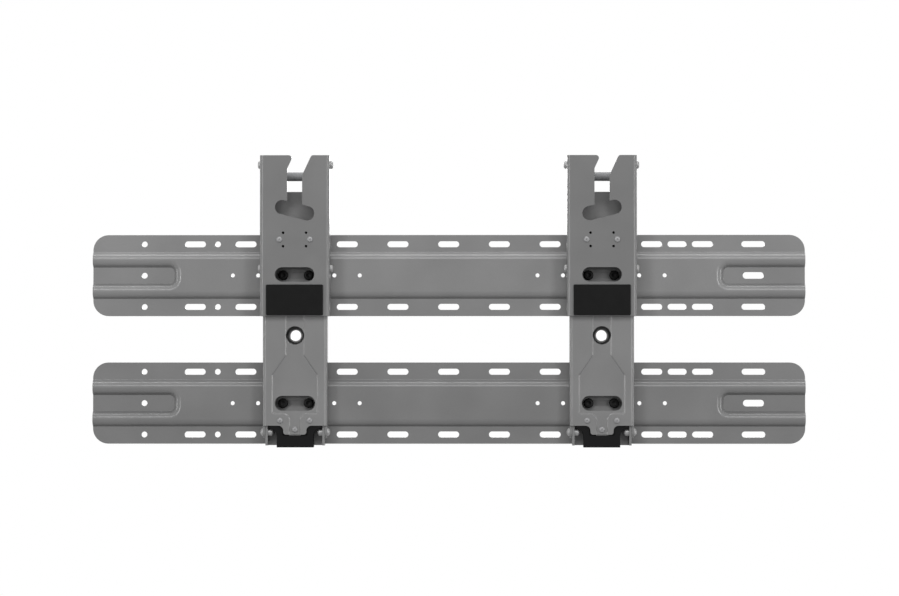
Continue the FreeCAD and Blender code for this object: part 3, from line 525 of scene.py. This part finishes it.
def front_pad(side, finish):
    """A foam pad: a rounded slab whose rim is a quarter circle and whose face is crowned.

    The crown falls off as one minus the product of one minus the square of X and one minus the
    square of Z, each as a share of the pad's half.
    """
    low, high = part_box(f"{side}_front_pad")
    middle = (low + high) / 2
    half_x, half_z = (high.x - low.x) / 2, (high.z - low.z) / 2
    bow = np.linspace(0, TURN / 4, PAD_RIM_RINGS)
    insets = np.concatenate([
        [0.0],
        PAD_RIM * (1 - np.cos(bow)),
        np.linspace(2 * PAD_RIM, half_z - PAD_RIM, PAD_FACE_RINGS),
    ])
    falls = np.concatenate([
        [high.y - low.y],
        PAD_RIM * (1 - np.sin(bow)),
        np.zeros(PAD_FACE_RINGS),
    ])
    rings = []
    for inset, fall in zip(insets, falls):
        corner = max(PAD_CORNER - inset, PAD_CORNER_LEAST)
        x, z = rounded_box_ring(half_x - inset, half_z - inset, corner)
        swell = (1 - (x / half_x) ** 2) * (1 - (z / half_z) ** 2)
        y = low.y + fall + PAD_CROWN * (1 - swell) * (fall < PAD_RIM)
        rings.append(np.stack([middle.x + x, y, middle.z + z], axis=1))
    back = np.broadcast_to([middle.x, high.y, middle.z], rings[0].shape)
    face = np.broadcast_to([middle.x, low.y, middle.z], rings[0].shape)
    points = np.array([face, *rings[::-1], back])
    piece = new_piece(f"{side}_foam_pad", points, finish, PAD_SHARP_ANGLE)
    seat(piece, f"{side}_front_pad")


def fasten(side, black_steel, screw_zinc, rivet_zinc):
    """Put detailed bolts, screws and bottom rivets where the arm's plain ones are."""
    node = f"{side}_bottom_rivets"
    low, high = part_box(node)
    middle, half = (low + high) / 2, (high.z - low.z) / 2
    rivets = [dome_rivet(way, end, middle.y, middle.z, half, rivet_zinc)
              for way, end in ((1, low.x), (-1, high.x))]
    seat(join(f"{side}_domed_rivets", rivets), node)
    for rail in ("upper", "lower"):
        node = f"{side}_{rail}_rail_bolts"
        places, *rest = fastener_places(node, 2)
        bolts = [rail_bolt(x, *rest, black_steel) for x in places]
        seat(join(f"{side}_{rail}_cap_screws", bolts), node)
    for word, count in (("spacer_screws", 2), ("block_screws", 2), ("tongue_screw", 1)):
        node = f"{side}_{word}"
        places, *rest = fastener_places(node, count)
        screws = [small_screw(x, *rest, screw_zinc) for x in places]
        seat(join(f"{side}_pan_{word}", screws), node)


def finish_nodes(finishes, own):
    """Give each node that stays the finish of its record slot.

    A word of own in a node's name gives it that word's finish instead.
    """
    slots = {row["node"]: row["material_slot"] for row in frame["record"]["subparts"]}
    for name, node in frame["nodes"].items():
        words = [word for word in own if word in name]
        for place in node.material_slots:
            place.material = own[words[0]] if words else finishes[slots[name]]


def seen_rays(tree):
    """Give 1 for rays that show the ground itself: those of the camera, of gloss and of glass."""
    path = add(tree, "LightPath").outputs
    gloss = add(tree, "Math", {"operation": "MAXIMUM"},
                {0: path["Is Glossy Ray"], 1: path["Is Transmission Ray"]})
    return add(tree, "Math", {"operation": "MAXIMUM"},
               {0: path["Is Camera Ray"], 1: gloss.outputs["Value"]}).outputs["Value"]


def pale_floor():
    """A pale floor far below. Part of what is seen of it glows white, and the rest is lit."""
    bpy.ops.mesh.primitive_plane_add(size=FLOOR_HALF * 2, location=(0, 0, -FLOOR_DROP))
    floor = bpy.context.object
    floor.name = "studio_floor"
    ground = bpy.data.materials.new("pale_floor")
    tree = bare_tree(ground)
    seen = seen_rays(tree)
    colour = add(tree, "MixRGB", {"Color1": linear(FLOOR_BOUNCE), "Color2": linear(FLOOR_SEEN)},
                 {"Fac": seen})
    diffuse = add(tree, "BsdfDiffuse", links={"Color": colour.outputs["Color"]})
    glow = add(tree, "Emission", {"Color": linear(WHITE), "Strength": 1.0})
    share = add(tree, "Math", {"operation": "MULTIPLY", 1: FLOOR_GLOW}, {0: seen})
    surface = add(tree, "MixShader", links={0: share.outputs["Value"],
                                            1: diffuse.outputs["BSDF"],
                                            2: glow.outputs["Emission"]})
    add(tree, "OutputMaterial", links={"Surface": surface.outputs["Shader"]})
    floor.data.materials.append(ground)


def white_ground():
    """A ground all round that is white where it is seen, and a faint fill for the object."""
    world = bpy.data.worlds.new("white_ground")
    bpy.context.scene.world = world
    tree = bare_tree(world)
    strength = add(tree, "MapRange", {"To Min": FILL_STRENGTH, "To Max": 1.0},
                   {"Value": seen_rays(tree)})
    sky = add(tree, "Background", {"Color": linear(WHITE)},
              {"Strength": strength.outputs["Result"]})
    add(tree, "OutputWorld", links={"Surface": sky.outputs["Background"]})


def stand(name, data, place):
    """Put a lamp or the camera in its place, turned to what the photograph aims at."""
    thing = bpy.data.objects.new(name, data)
    thing.location = place
    aim = Vector(CAMERA_AIM) - Vector(place)
    thing.rotation_euler = aim.to_track_quat("-Z", "Y").to_euler()
    bpy.context.scene.collection.objects.link(thing)
    return thing


def soft_lamps():
    """Soft lamps in front, above, beside and behind, which the camera doesn't see."""
    for name, (place, (width, height), watts) in LAMPS.items():
        lamp = bpy.data.lights.new(name, "AREA")
        lamp.shape = "RECTANGLE"
        lamp.size, lamp.size_y, lamp.energy = width, height, watts
        stand(name, lamp, place).visible_camera = False


def photograph_camera():
    """The camera, at the photograph's place and with its long lens."""
    data = bpy.data.cameras.new("photograph_camera")
    data.sensor_width = SENSOR_WIDTH
    data.lens = LENS
    data.clip_end = FARTHEST_SEEN
    bpy.context.scene.camera = stand("photograph_camera", data, CAMERA_PLACE)


own_finishes = {word: powder_coated_steel(*paint) for word, paint in PAINTS.items()}
own_finishes["cross_rod"] = zinc_flake_coated_steel()
bright_zinc = zinc_plated_steel("bright_zinc_plated_steel", "#868686", "#949494", 0.36)
grey_zinc = zinc_plated_steel("grey_zinc_plated_steel", "#757576", "#808081", 0.42)
black_steel = black_oxide_steel()
foam = foam_pad_skin()
finish_nodes({
    "painted_steel": powder_coated_steel(*ARM_PAINT),
    "zinc": bright_zinc,
    "black_bolt": black_steel,
    "pad_foam": foam,
    "black_plastic": moulded_nylon(),
}, own_finishes)
for side in SIDES:
    front_pad(side, foam)
    fasten(side, black_steel, grey_zinc, bright_zinc)
pale_floor()
white_ground()
soft_lamps()
photograph_camera()
bpy.context.scene.view_settings.view_transform = "Standard"
